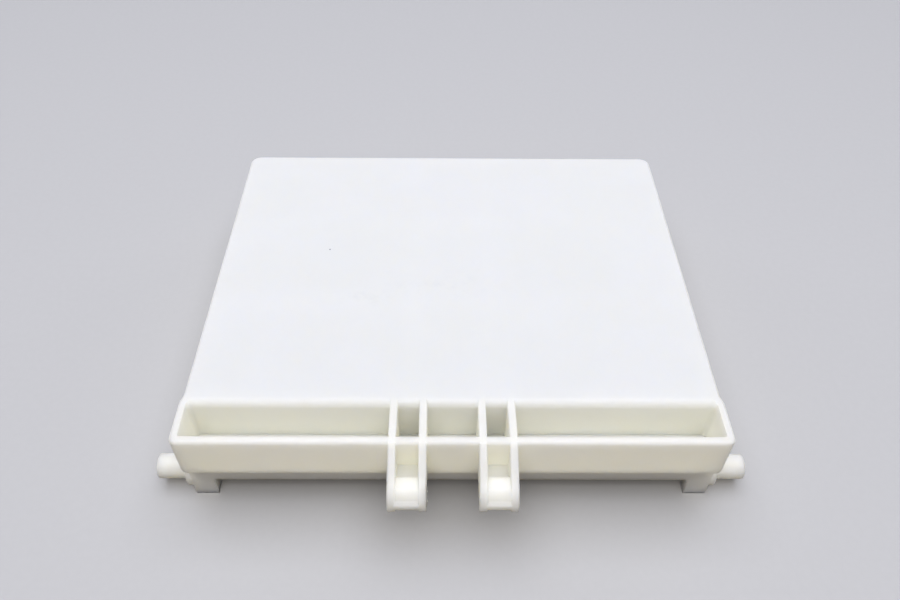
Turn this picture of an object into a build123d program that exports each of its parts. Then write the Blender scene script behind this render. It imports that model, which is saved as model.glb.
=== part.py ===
from build123d import *
import math
import os

# Injection moulded housing: a shallow box with an open underside and a flat top plate.  An open
# trough runs across the front of the plate, two channel-shaped arms reach forward over it, and a
# pivot pin stands out from each front corner.  It is one moulding with 3 mm walls.
#
# Millimetres.  X runs across the housing, -Y is the trough side, +Z is up.
# The origin is the middle of the overall footprint, on the plane that the housing stands on.

# ---- driving dimensions -------------------------------------------------------------------
plate_width = 206.0          # top plate, side to side
plate_depth = 159.0          # top plate, trough edge to rear edge
height = 42.0                # standing plane to top plate
wall = 3.0                   # general wall thickness
draft = 0.5                  # draft of the trough and of the inside of the box, degrees

rear_corner_radius = 5.0     # rear corners of the box, seen from above
top_edge_radius = 1.2        # outer top edges
trough_edge_radius = 2.8     # edge of the plate along the trough

trough_width = 15.0          # clear width between plate edge and flange
trough_front_radius = 1.0    # corners of the trough beside the flange, seen from above
trough_rear_radius = 2.0     # corners of the trough beside the plate
flange_height = 20.0         # front flange, top edge to bottom edge
flange_overhang = 4.5        # the flange face stands this far ahead of the lower front wall
flange_corner_radius = 3.0   # flange corners, seen from above
flange_lower_radius = 3.4    # lower end corners of the flange, seen from the front
cheek_step = 1.0             # trough cheeks stand this far outside the plate sides
cheek_blend_length = 5.0     # the step is spread over this length, back from the trough

front_opening_height = 10.0  # standing plane to the edge of the lower front wall
lug_width = 9.0              # front corner lugs that carry the pins
lug_depth = 15.0
lug_wall = 2.5
lug_root_radius = 1.6        # where a lug meets the edge of the lower front wall

pin_radius = 5.0
pin_tip = 117.5              # pin end, from the middle of the housing
pin_end_radius = 0.5
pin_height = 8.2             # pin axis above the standing plane
collar_radius = 7.5
collar_thickness = 2.5
collar_edge_radius = 0.6

arm_spacing = 33.4           # arm centre to arm centre
arm_width = 14.25            # over both side webs
arm_reach = 19.0             # nose ahead of the flange face
arm_slope = 25.5             # fall of the side webs ahead of the flange, degrees
arm_underside = 17.0         # below the top plate
nose_radius = 8.0            # where the slope of a side web turns down
nose_lower_radius = 2.5
web_edge_radius = 0.6        # long edges of the side webs

channel_floor = 14.3         # top of the channel floor, below the top plate
channel_root_radius = 1.2    # where the channel floor meets the flange
seat_back = 9.1              # rear edge of the cross seat, ahead of the flange face
seat_level = 7.7             # flat of the cross seat, below the top plate
seat_recess = 0.8            # round front of the seat, behind the nose of the side webs
seat_turn = 62.0             # angle at which that round front meets the lip, degrees
seat_edge_radius = 0.7
lip_top = 11.8               # front edge of the lip, below the top plate
lip_bottom = 13.9
lip_back = 16.4              # ahead of the flange face, at the underside
lip_edge_radius = 0.9

rib_thickness = 2.0          # stiffening ribs below the plate
rib_depth = 8.0
cross_rib_count = 2

join = 0.5                   # how far one form is sunk into the next

# ---- derived places -----------------------------------------------------------------------
draft_run = height * math.tan(math.radians(draft))
overall_depth = arm_reach + wall + trough_width + plate_depth
y_nose = -overall_depth / 2
y_flange = y_nose + arm_reach
y_flange_inner = y_flange + wall
y_plate = y_flange_inner + trough_width
y_rear = y_plate + plate_depth
y_plate_inner = y_plate + wall
y_rear_inner = y_rear - wall
y_lower = y_flange + flange_overhang
y_pin = y_lower + collar_radius

x_side = plate_width / 2
x_side_inner = x_side - wall
x_cheek = x_side + cheek_step
x_cheek_inner = x_cheek - wall
x_lug = x_side - lug_width

z_flange = height - flange_height
z_slab = z_flange - wall
z_under_plate = height - wall
z_underside = height - arm_underside

core_width = lug_width - wall - lug_wall
core_depth = lug_depth - wall - lug_wall
cross_rib_pitch = (y_rear_inner - y_plate_inner) / (cross_rib_count + 1)

sides = (-1, 1)
arm_centres = [side * arm_spacing / 2 for side in sides]
web_starts = [
    centre + side * (arm_width - wall) / 2 - wall / 2
    for centre in arm_centres
    for side in sides
]

# ---- arm side webs: four alike, from the plate edge over the flange to the nose -------------
nose_drop = arm_reach * math.tan(math.radians(arm_slope))

with BuildPart() as arm_webs:
    with BuildSketch(*[Plane.YZ.offset(x) for x in web_starts]) as web_profile:
        with BuildLine():
            Polyline(
                (y_plate_inner, height),
                (y_flange, height),
                (y_nose, height - nose_drop),
                (y_nose, z_underside),
                (y_flange + wall / 2, z_underside),
                (y_flange + wall / 2, z_flange - join),
                (y_plate_inner, z_flange - join),
                close=True,
            )
        make_face()
        fillet(web_profile.vertices().group_by(Axis.X)[0].sort_by(Axis.Y)[-1], nose_radius)
        fillet(web_profile.vertices().group_by(Axis.X)[0].sort_by(Axis.Y)[0], nose_lower_radius)
    extrude(amount=wall)
    long_edges = arm_webs.faces().filter_by(Axis.X).edges()
    fillet(long_edges.filter_by_position(Axis.Y, y_nose, y_plate), web_edge_radius)

# ---- channels: floor, cross seat and lip between the side webs of each arm -----------------
# The round front of the seat shares its centre with the nose of the side webs.
channel_width = arm_width - 2 * wall
slope = math.radians(arm_slope)
y_round = y_nose + nose_radius
z_round = height - (arm_reach - nose_radius) * math.tan(slope) - nose_radius / math.cos(slope)
seat_radius = nose_radius - seat_recess
z_seat = height - seat_level
z_channel = height - channel_floor
seat_start = math.degrees(math.acos((z_seat - z_round) / seat_radius))

with BuildPart() as channels:
    with BuildSketch(
        *[Plane.YZ.offset(centre - channel_width / 2 - join) for centre in arm_centres]
    ) as channel_profile:
        with BuildLine():
            front = CenterArc(
                (y_round, z_round), seat_radius, 90 + seat_start, seat_turn - seat_start
            )
            Polyline(
                front @ 1,
                (y_nose, height - lip_top),
                (y_nose, height - lip_bottom),
                (y_flange - lip_back, z_underside),
                (y_flange + join, z_underside),
                (y_flange + join, z_channel + channel_root_radius),
                (y_flange, z_channel + channel_root_radius),
                (y_flange, z_channel),
                (y_flange - seat_back, z_channel),
                (y_flange - seat_back, z_seat),
                front @ 0,
            )
        make_face()
        corners = channel_profile.vertices()
        fillet(corners.group_by(Axis.X)[0].sort_by(Axis.Y)[-1], lip_edge_radius)
        fillet(corners.group_by(Axis.Y)[-1].sort_by(Axis.X)[-1], seat_edge_radius)
        fillet(corners.sort_by_distance((y_flange, z_channel))[0], channel_root_radius)
    extrude(amount=channel_width + 2 * join)

# ---- the moulding --------------------------------------------------------------------------
blend_middle = y_plate + cheek_blend_length / 2
blend_end = y_plate + cheek_blend_length

with BuildPart() as housing:

    # upper body down to the bottom edge of the flange; the cheeks step out beside the trough
    with BuildSketch(Plane.XY.offset(height)) as plan:
        with BuildLine():
            Polyline((0, y_rear), (x_side, y_rear), (x_side, blend_end))
            step_out = TangentArc(
                (x_side, blend_end),
                (x_side + cheek_step / 2, blend_middle),
                tangent=(0, -1),
            )
            TangentArc(step_out @ 1, (x_cheek, y_plate), tangent=step_out % 1)
            Polyline((x_cheek, y_plate), (x_cheek, y_flange), (0, y_flange))
            mirror(about=Plane.YZ)
        make_face()
        fillet(plan.vertices().group_by(Axis.Y)[0], flange_corner_radius)
        fillet(plan.vertices().group_by(Axis.Y)[-1], rear_corner_radius)
    extrude(amount=-flange_height)

    # the lower end corners of the flange are round, seen from the front
    with BuildSketch(Plane.XZ.offset(-blend_end)):
        for side in sides:
            x_round = side * (x_cheek - flange_lower_radius)
            with Locations((x_round + side * flange_lower_radius / 2, z_flange)):
                Rectangle(flange_lower_radius, 2 * flange_lower_radius)
            with Locations((x_round, z_flange + flange_lower_radius)):
                Circle(flange_lower_radius, mode=Mode.SUBTRACT)
    extrude(amount=blend_end - y_flange, mode=Mode.SUBTRACT)

    # lower body, flush with the sides and set back under the flange
    with BuildSketch() as lower_outline:
        with Locations((0, (y_lower + y_rear) / 2)):
            Rectangle(plate_width, y_rear - y_lower)
        fillet(lower_outline.vertices().group_by(Axis.Y)[-1], rear_corner_radius)
    extrude(amount=z_flange + flange_lower_radius)

    # the underside of the flange falls back to the lower front wall
    x_underside = x_cheek_inner + join
    with BuildSketch(Plane.YZ.offset(-x_underside)):
        with BuildLine():
            Polyline(
                (y_flange, z_flange),
                (y_flange, z_flange + join),
                (y_lower + join, z_flange + join),
                (y_lower + join, z_flange - flange_overhang),
                (y_lower, z_flange - flange_overhang),
                close=True,
            )
        make_face()
    extrude(amount=2 * x_underside)

    fillet(housing.edges().group_by(Axis.Z)[-1], top_edge_radius)

    # trough, open at the top
    with BuildSketch(Plane.XY.offset(height)) as trough:
        with Locations((0, (y_flange_inner + y_plate) / 2)):
            Rectangle(2 * x_cheek_inner, trough_width)
        fillet(trough.vertices().group_by(Axis.Y)[0], trough_front_radius)
    extrude(amount=-flange_height, taper=draft, mode=Mode.SUBTRACT)

    # its edge along the plate first, then the upright corners that end it
    fillet(housing.edges().sort_by_distance((0, y_plate, height))[0], trough_edge_radius)
    z_half = height - flange_height / 2
    rear_corners = [
        housing.edges().sort_by_distance((side * x_cheek_inner, y_plate, z_half))[0]
        for side in sides
    ]
    fillet(rear_corners, trough_rear_radius)

    add(arm_webs.part)
    add(channels.part)

    # inside of the box
    with BuildSketch() as core_outline:
        with Locations((0, (y_plate_inner + y_rear_inner) / 2)):
            Rectangle(
                2 * (x_side_inner + draft_run),
                y_rear_inner - y_plate_inner + 2 * draft_run,
            )
        fillet(core_outline.vertices().group_by(Axis.Y)[-1], rear_corner_radius - wall)
    extrude(amount=z_under_plate, taper=draft, mode=Mode.SUBTRACT)

    # inside of the lower front body, below the trough floor
    with BuildSketch():
        with Locations((0, (y_lower + wall + y_plate_inner) / 2)):
            Rectangle(2 * x_side_inner, y_plate_inner - y_lower - wall)
    extrude(amount=z_slab, mode=Mode.SUBTRACT)

    # front opening between the corner lugs
    with BuildSketch(Plane.XZ.offset(-y_plate_inner)) as opening:
        Rectangle(2 * x_lug, 2 * front_opening_height)
        fillet(opening.vertices().group_by(Axis.Y)[-1], lug_root_radius)
    extrude(amount=y_plate_inner - y_lower + join, mode=Mode.SUBTRACT)

    # corner lugs, cored from below
    with BuildSketch():
        for side in sides:
            with Locations((side * (x_side - lug_width / 2), y_lower + lug_depth / 2)):
                Rectangle(lug_width, lug_depth)
            with Locations(
                (side * (x_side - wall - core_width / 2), y_lower + wall + core_depth / 2)
            ):
                Rectangle(core_width, core_depth, mode=Mode.SUBTRACT)
    extrude(amount=z_slab + join)

    # pivot pins and their collars
    for side in sides:
        with BuildSketch(Plane.YZ.offset(side * (x_side - join))):
            with Locations((y_pin, pin_height)):
                Circle(collar_radius)
        extrude(amount=side * (collar_thickness + join))
        with BuildSketch(Plane.YZ.offset(side * x_side)):
            with Locations((y_pin, pin_height)):
                Circle(pin_radius)
        extrude(amount=side * (pin_tip - x_side))
        circles = housing.edges().filter_by(GeomType.CIRCLE)
        x_rim = side * (x_side + collar_thickness)
        pin_end = circles.filter_by_position(
            Axis.X, side * pin_tip - join, side * pin_tip + join
        )
        collar_rim = circles.filter_by_position(Axis.X, x_rim - join, x_rim + join)
        fillet(pin_end, pin_end_radius)
        fillet(collar_rim.sort_by(SortBy.RADIUS)[-1], collar_edge_radius)

    # stiffening ribs: one in line with each arm, the others across
    with BuildSketch(Plane.XY.offset(z_under_plate - rib_depth)):
        with Locations((0, (y_plate_inner + y_rear_inner) / 2)):
            with GridLocations(arm_spacing, 0, 2, 1):
                Rectangle(rib_thickness, y_rear_inner - y_plate_inner + 2 * join)
            with GridLocations(0, cross_rib_pitch, 1, cross_rib_count):
                Rectangle(2 * (x_side_inner + join), rib_thickness)
    extrude(amount=rib_depth + join)

housing.part.label = "housing"
os.makedirs("parts", exist_ok=True)
export_step(housing.part, "parts/housing.step")
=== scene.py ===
import math

import bmesh
import bpy
from mathutils import Matrix, Vector, noise


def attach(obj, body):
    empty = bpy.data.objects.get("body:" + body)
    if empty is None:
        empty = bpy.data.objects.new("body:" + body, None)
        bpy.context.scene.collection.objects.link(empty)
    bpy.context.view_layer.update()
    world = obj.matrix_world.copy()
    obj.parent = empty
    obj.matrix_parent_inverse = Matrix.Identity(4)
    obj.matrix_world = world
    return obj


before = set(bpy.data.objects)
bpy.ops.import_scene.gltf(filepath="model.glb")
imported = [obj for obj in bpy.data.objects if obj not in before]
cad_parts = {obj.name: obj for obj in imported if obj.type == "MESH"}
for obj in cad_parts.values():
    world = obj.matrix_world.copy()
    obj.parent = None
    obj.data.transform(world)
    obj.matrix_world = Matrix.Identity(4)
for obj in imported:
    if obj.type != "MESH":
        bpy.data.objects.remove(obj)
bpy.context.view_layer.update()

MM = 0.001

# ---- colours -------------------------------------------------------------------------------
# The plastic's colours are those that light takes inside it, so they are lighter than its look.
PLASTIC = (0.982, 0.962, 0.825)
PLASTIC_PALE = (0.988, 0.972, 0.850)
PLASTIC_WARM = (0.975, 0.945, 0.780)
SMUDGE = (0.800, 0.785, 0.735)
# painted light: the lighter tint where light glows through a web onto the flange face
PAINTED_GLOW_TINT = (0.990, 0.975, 0.880)
SPECK = (0.16, 0.14, 0.12)
SCATTER = (1.0, 0.93, 0.80)          # how far red, green and blue light spread in the plastic
SCATTER_LENGTH = 11 * MM
PLASTIC_IOR = 1.49

FLOOR = (0.52, 0.525, 0.54)
FLOOR_GRAIN = tuple(0.985 * part for part in FLOOR)
FLOOR_BOUNCE = (0.15, 0.125, 0.075)  # what the floor throws back at the object
BACKDROP = (0.60, 0.605, 0.63)

# ---- small marks on the moulding and a patch of painted light, in millimetres --------------
SPECK_PLACE = (-55.4, 26.0, 42.0)
SPECK_RADIUS = 0.45
SMUDGES = (                          # middle and half size of each smudge on the plate
    ((-3.0, 3.0, 42.0), (34.0, 9.0, 4.0)),
    ((-36.0, -4.0, 42.0), (22.0, 8.0, 4.0)),
)
LINE_AND_GLOW_PLACE = (-24.0, -79.0, 31.0)  # a mould line on the flange face here, and painted light: a lighter patch where light glows through the web
LINE_AND_GLOW_REACH = (7.0, 1.5, 9.5)
MOULD_LINE_X = -28.4                # its left edge is sharp
MOULD_LINE_SOFT = 0.1

# ---- mould flash on the outer edge of one arm's side web, in millimetres --------------------
FLASH_X = -9.575                     # outer face of the web
NOSE_CENTRE = (-90.0, 27.89)         # Y and Z of the middle of the nose round
NOSE_RADIUS = 8.0
FLASH_START = 106                    # degrees about the nose centre, from +Y
FLASH_END = 168
FLASH_HEIGHT = 0.37
FLASH_RAGGED = (0.9, 0.3)            # middle and swing of the noise that multiplies the height
FLASH_RAGGED_TIGHT = 0.9             # steps of the noise in a degree
FLASH_LUMPS = (                      # middle and spread in degrees, and height
    (122.5, 2.5, 0.28),
    (151, 5.0, 0.30),
)
FLASH_BELOW_EDGE = 0.75              # from the nose's edge in to the ridge's middle
FLASH_HALF_WIDTH = 0.45
FLASH_ROOT = 0.1                     # how deep the ridge starts inside the web
FLASH_STEPS = 120                    # along the ridge
FLASH_TAPER_STEPS = 8                # at each end
FLASH_SIDES = 8                      # over the ridge

# ---- light: places and sizes in metres, powers in watts --------------------------------------
OVERHEAD_PLACE = (0, 0.05, 1.4)
OVERHEAD_SIZE = 1.6
OVERHEAD = 21.3
OVERHEAD_COLOUR = (0.925, 0.932, 0.985)
FRONT_PLACE = (0, -1.1, 1.4)
FRONT_SIZE = 1.2
FRONT = 9.8
FRONT_COLOUR = (1.0, 0.93, 0.80)
REAR_FILL_PLACE = (1.3, 1.0, 0.35)   # and the same on the other side
REAR_FILL_SIZE = 0.8
REAR_FILL = 3.2
SURROUND = 0.25
SURROUND_COLOUR = (0.87, 0.87, 1.0)
FLOOR_SIZE = 12
FADE_START = 0.6                     # metres from the object, where the floor starts to fade
FADE_END = 1.7

# ---- camera --------------------------------------------------------------------------------
CAMERA_PLACE = Vector((-4.0, -241.0, 282.3)) * MM
CAMERA_TILT_DOWN = 45.64             # degrees below the horizon
CAMERA_TURN = -0.788                 # degrees about +Z
CAMERA_ROLL = 0.754                  # degrees about the line of sight
CAMERA_LENS = 31.37                  # mm
CAMERA_SENSOR = 36                   # mm wide


# ---- node helpers --------------------------------------------------------------------------
class Shader:
    """A material's node tree, with short calls for the nodes that the finishes use."""

    def __init__(self, name):
        self.material = bpy.data.materials.new(name)
        self.material.use_nodes = True
        self.nodes = self.material.node_tree.nodes
        self.links = self.material.node_tree.links
        self.surface = self.nodes["Principled BSDF"]
        self.output = self.nodes["Material Output"]

    def add(self, kind, **values):
        node = self.nodes.new(kind)
        for name, value in values.items():
            setattr(node, name, value)
        return node

    def link(self, source, target):
        self.links.new(source, target)

    def place(self, stretch=(1, 1, 1)):
        """The object's own coordinates in metres, stretched."""
        coordinates = self.add("ShaderNodeTexCoord")
        mapping = self.add("ShaderNodeMapping")
        mapping.inputs["Scale"].default_value = stretch
        self.link(coordinates.outputs["Object"], mapping.inputs["Vector"])
        return mapping.outputs["Vector"]

    def noise(self, size, detail=4, rough=0.55, stretch=(1, 1, 1)):
        """Noise whose blotches are about size metres across."""
        node = self.add("ShaderNodeTexNoise")
        node.inputs["Scale"].default_value = 1 / size
        node.inputs["Detail"].default_value = detail
        node.inputs["Roughness"].default_value = rough
        self.link(self.place(stretch), node.inputs["Vector"])
        return node.outputs["Fac"]

    def remap(self, value, low, high, to_low=0.0, to_high=1.0):
        """Takes the band from low to high to the band from to_low to to_high, smoothly."""
        node = self.add("ShaderNodeMapRange", interpolation_type="SMOOTHSTEP")
        for name, number in zip(("From Min", "From Max", "To Min", "To Max"),
                                (low, high, to_low, to_high)):
            node.inputs[name].default_value = number
        self.link(value, node.inputs["Value"])
        return node.outputs["Result"]

    def math(self, operation, first, second):
        node = self.add("ShaderNodeMath", operation=operation)
        for socket, value in zip(node.inputs, (first, second)):
            if isinstance(value, (int, float)):
                socket.default_value = value
            else:
                self.link(value, socket)
        return node.outputs["Value"]

    def mix(self, amount, first, second):
        """Colour from first to second; amount is a socket, each colour is a socket or a triple."""
        node = self.add("ShaderNodeMix", data_type="RGBA")
        self.link(amount, node.inputs["Factor"])
        for socket, colour in ((node.inputs["A"], first), (node.inputs["B"], second)):
            if isinstance(colour, tuple):
                socket.default_value = (*colour, 1)
            else:
                self.link(colour, socket)
        return node.outputs["Result"]

    def bump(self, height, distance, strength=1.0, below=None):
        node = self.add("ShaderNodeBump")
        node.inputs["Strength"].default_value = strength
        node.inputs["Distance"].default_value = distance
        self.link(height, node.inputs["Height"])
        if below is not None:
            self.link(below, node.inputs["Normal"])
        return node.outputs["Normal"]


# ---- finishes ------------------------------------------------------------------------------
def spot(shader, middle, reach, soft):
    """1 inside the ellipsoid about middle with half sizes reach, in mm, and 0 outside it."""
    mapping = shader.add("ShaderNodeMapping", vector_type="TEXTURE")
    mapping.inputs["Location"].default_value = [value * MM for value in middle]
    mapping.inputs["Scale"].default_value = [value * MM for value in reach]
    shader.link(shader.add("ShaderNodeTexCoord").outputs["Object"], mapping.inputs["Vector"])
    length = shader.add("ShaderNodeVectorMath", operation="LENGTH")
    shader.link(mapping.outputs["Vector"], length.inputs[0])
    return shader.remap(length.outputs["Value"], 1 - soft, 1, 1, 0)


def mould_line_and_painted_glow(shader):
    """1 on the flange face where a lighter patch of painted light lies, with a sharp left edge
    along a mould line.
    """
    across = shader.add("ShaderNodeSeparateXYZ")
    shader.link(shader.place(), across.inputs["Vector"])
    edge = shader.remap(
        across.outputs["X"],
        (MOULD_LINE_X - MOULD_LINE_SOFT) * MM,
        (MOULD_LINE_X + MOULD_LINE_SOFT) * MM,
    )
    return shader.math("MULTIPLY", edge, spot(shader, LINE_AND_GLOW_PLACE, LINE_AND_GLOW_REACH, 0.4))


def milky_plastic():
    """Unfilled white plastic: satin, slightly see-through, a little uneven from the mould, with a
    lighter patch of painted light on the flange face.
    """
    shader = Shader("milky_plastic")
    cloud = shader.noise(45 * MM, detail=3)
    flow = shader.noise(14 * MM, detail=4, stretch=(0.35, 1, 1))
    speckle = shader.noise(1.2 * MM, detail=5, rough=0.7)
    grain = shader.noise(0.35 * MM, detail=3, rough=0.6)
    scuff = shader.noise(6 * MM, detail=6, rough=0.65)

    colour = shader.mix(shader.remap(cloud, 0.35, 0.65), PLASTIC, PLASTIC_PALE)
    colour = shader.mix(shader.remap(flow, 0.60, 0.85, 0, 0.35), colour, PLASTIC_WARM)
    handled = shader.remap(scuff, 0.45, 0.75, 0, 0.30)
    for middle, reach in SMUDGES:
        patch = shader.math("MULTIPLY", spot(shader, middle, reach, 1.0), handled)
        colour = shader.mix(patch, colour, SMUDGE)
    line_and_glow = mould_line_and_painted_glow(shader)
    # painted light: the flange face made lighter where light glows through the web, up to a mould
    # line
    colour = shader.mix(shader.math("MULTIPLY", line_and_glow, 0.6), colour, PAINTED_GLOW_TINT)
    colour = shader.mix(spot(shader, SPECK_PLACE, [SPECK_RADIUS] * 3, 0.6), colour, SPECK)
    shader.link(colour, shader.surface.inputs["Base Color"])

    gloss = shader.math("ADD", shader.remap(flow, 0.3, 0.7, 0.50, 0.60),
                        shader.remap(speckle, 0.4, 0.75, 0.0, 0.08))
    shader.link(gloss, shader.surface.inputs["Roughness"])

    normal = shader.bump(cloud, 0.06 * MM, 0.5)
    normal = shader.bump(flow, 0.05 * MM, 0.5, below=normal)
    # a slight raised step over that patch, sharp along the mould line
    normal = shader.bump(line_and_glow, 0.04 * MM, 1.0, below=normal)
    normal = shader.bump(grain, 0.012 * MM, 0.5, below=normal)
    shader.link(normal, shader.surface.inputs["Normal"])

    shader.surface.inputs["IOR"].default_value = PLASTIC_IOR
    shader.surface.inputs["Specular IOR Level"].default_value = 0.2
    shader.surface.inputs["Subsurface Weight"].default_value = 1.0
    shader.surface.inputs["Subsurface Radius"].default_value = SCATTER
    shader.surface.inputs["Subsurface Scale"].default_value = SCATTER_LENGTH
    return shader.material


def studio_floor():
    """Matte paper that fades into the backdrop far from the object.

    It is pale to the camera and quieter in what it throws back at the object.
    """
    shader = Shader("studio_floor")
    path = shader.add("ShaderNodeLightPath")
    fibre = shader.noise(3 * MM, detail=5)
    seen = shader.mix(shader.remap(fibre, 0.3, 0.7), FLOOR, FLOOR_GRAIN)
    shown = shader.math("MAXIMUM", path.outputs["Is Camera Ray"], path.outputs["Is Glossy Ray"])
    shader.link(shader.mix(shown, FLOOR_BOUNCE, seen), shader.surface.inputs["Base Color"])
    shader.surface.inputs["Roughness"].default_value = 0.9
    shader.surface.inputs["Specular IOR Level"].default_value = 0.1
    shader.link(shader.bump(fibre, 0.05 * MM, 0.3), shader.surface.inputs["Normal"])

    distance = shader.add("ShaderNodeVectorMath", operation="LENGTH")
    shader.link(shader.place(), distance.inputs[0])
    far = shader.remap(distance.outputs["Value"], FADE_START, FADE_END)
    glow = shader.add("ShaderNodeEmission")
    glow.inputs["Color"].default_value = (*BACKDROP, 1)
    fade = shader.add("ShaderNodeMixShader")
    shader.link(shader.math("MULTIPLY", far, shown), fade.inputs[0])
    shader.link(shader.surface.outputs["BSDF"], fade.inputs[1])
    shader.link(glow.outputs["Emission"], fade.inputs[2])
    shader.link(fade.outputs["Shader"], shader.output.inputs["Surface"])
    return shader.material


# ---- studio --------------------------------------------------------------------------------
def add_floor():
    bpy.ops.mesh.primitive_plane_add(size=FLOOR_SIZE)
    floor = bpy.context.object
    floor.name = "floor"
    floor.data.materials.append(studio_floor())


def add_lamp(name, place, size, power, colour=(1, 1, 1)):
    """A square soft box that faces the object."""
    light = bpy.data.lights.new(name, "AREA")
    light.shape = "SQUARE"
    light.size = size
    light.energy = power
    light.color = colour
    lamp = bpy.data.objects.new(name, light)
    lamp.location = place
    lamp.rotation_euler = Vector(place).to_track_quat("Z", "Y").to_euler()
    lamp.visible_camera = False
    bpy.context.collection.objects.link(lamp)


def add_lights():
    add_lamp("overhead", OVERHEAD_PLACE, OVERHEAD_SIZE, OVERHEAD, OVERHEAD_COLOUR)
    add_lamp("front", FRONT_PLACE, FRONT_SIZE, FRONT, FRONT_COLOUR)
    out, back, up = REAR_FILL_PLACE
    for side in (-1, 1):
        add_lamp("rear_fill", (side * out, back, up), REAR_FILL_SIZE, REAR_FILL)


def add_world():
    """Quiet light from all around; the camera and reflections see the pale backdrop."""
    world = bpy.data.worlds.new("studio")
    bpy.context.scene.world = world
    world.use_nodes = True
    nodes, links = world.node_tree.nodes, world.node_tree.links
    surround = nodes["Background"]
    surround.inputs["Color"].default_value = (*SURROUND_COLOUR, 1)
    surround.inputs["Strength"].default_value = SURROUND
    backdrop = nodes.new("ShaderNodeBackground")
    backdrop.inputs["Color"].default_value = (*BACKDROP, 1)
    path = nodes.new("ShaderNodeLightPath")
    shown = nodes.new("ShaderNodeMath")
    shown.operation = "MAXIMUM"
    links.new(path.outputs["Is Camera Ray"], shown.inputs[0])
    links.new(path.outputs["Is Glossy Ray"], shown.inputs[1])
    choice = nodes.new("ShaderNodeMixShader")
    links.new(shown.outputs["Value"], choice.inputs[0])
    links.new(surround.outputs["Background"], choice.inputs[1])
    links.new(backdrop.outputs["Background"], choice.inputs[2])
    links.new(choice.outputs["Shader"], nodes["World Output"].inputs["Surface"])


def add_camera():
    camera = bpy.data.objects.new("camera", bpy.data.cameras.new("camera"))
    turn = Matrix.Rotation(math.radians(CAMERA_TURN), 4, "Z")
    tilt = Matrix.Rotation(math.radians(90 - CAMERA_TILT_DOWN), 4, "X")
    roll = Matrix.Rotation(math.radians(CAMERA_ROLL), 4, "Z")
    camera.matrix_world = Matrix.Translation(CAMERA_PLACE) @ turn @ tilt @ roll
    camera.data.lens = CAMERA_LENS
    camera.data.sensor_width = CAMERA_SENSOR
    camera.data.clip_start = 0.01
    bpy.context.collection.objects.link(camera)
    bpy.context.scene.camera = camera


# ---- pieces ---------------------------------------------------------------------------------
def flash_height(step, angle):
    """How far the ridge stands out of the web, in mm, at an angle in degrees."""
    middle, swing = FLASH_RAGGED
    ragged = middle + swing * noise.noise(Vector((FLASH_RAGGED_TIGHT * angle, 0, 0)))
    height = FLASH_HEIGHT + sum(
        lump * math.exp(-(((angle - place) / spread) ** 2))
        for place, spread, lump in FLASH_LUMPS
    )
    taper = min(1, step / FLASH_TAPER_STEPS, (FLASH_STEPS - step) / FLASH_TAPER_STEPS)
    return height * (ragged * taper)


def flash_ridge():
    """A thin ragged ridge of plastic that squeezed out along the nose of one side web."""
    mesh = bmesh.new()
    rows = []
    for step in range(FLASH_STEPS + 1):
        angle = FLASH_START + (FLASH_END - FLASH_START) * step / FLASH_STEPS
        height = flash_height(step, angle)
        turn = math.radians(angle)
        row = []
        for side in range(FLASH_SIDES + 1):
            over = math.radians(-90 + 180 * side / FLASH_SIDES)
            radius = NOSE_RADIUS - FLASH_BELOW_EDGE + FLASH_HALF_WIDTH * math.sin(over)
            place = (
                FLASH_X - FLASH_ROOT + (height + FLASH_ROOT) * math.cos(over),
                NOSE_CENTRE[0] + radius * math.cos(turn),
                NOSE_CENTRE[1] + radius * math.sin(turn),
            )
            row.append(mesh.verts.new(Vector(place) * MM))
        rows.append(row)
    for row, after in zip(rows, rows[1:]):
        for side in range(len(row)):
            across = (side + 1) % len(row)
            mesh.faces.new((row[side], row[across], after[across], after[side]))
    for end in (rows[0], rows[-1]):
        mesh.faces.new(end)
    bmesh.ops.recalc_face_normals(mesh, faces=mesh.faces)
    for face in mesh.faces:
        face.smooth = True
    data = bpy.data.meshes.new("mould_flash")
    mesh.to_mesh(data)
    mesh.free()
    piece = bpy.data.objects.new("mould_flash", data)
    bpy.context.collection.objects.link(piece)
    return piece


# ---- the object ----------------------------------------------------------------------------
plastic = milky_plastic()
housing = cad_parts["housing"]
for slot in housing.material_slots:
    slot.material = plastic

flash = flash_ridge()
flash.data.materials.append(plastic)
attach(flash, "root")

add_floor()
add_lights()
add_world()
add_camera()
bpy.context.scene.view_settings.view_transform = "Standard"
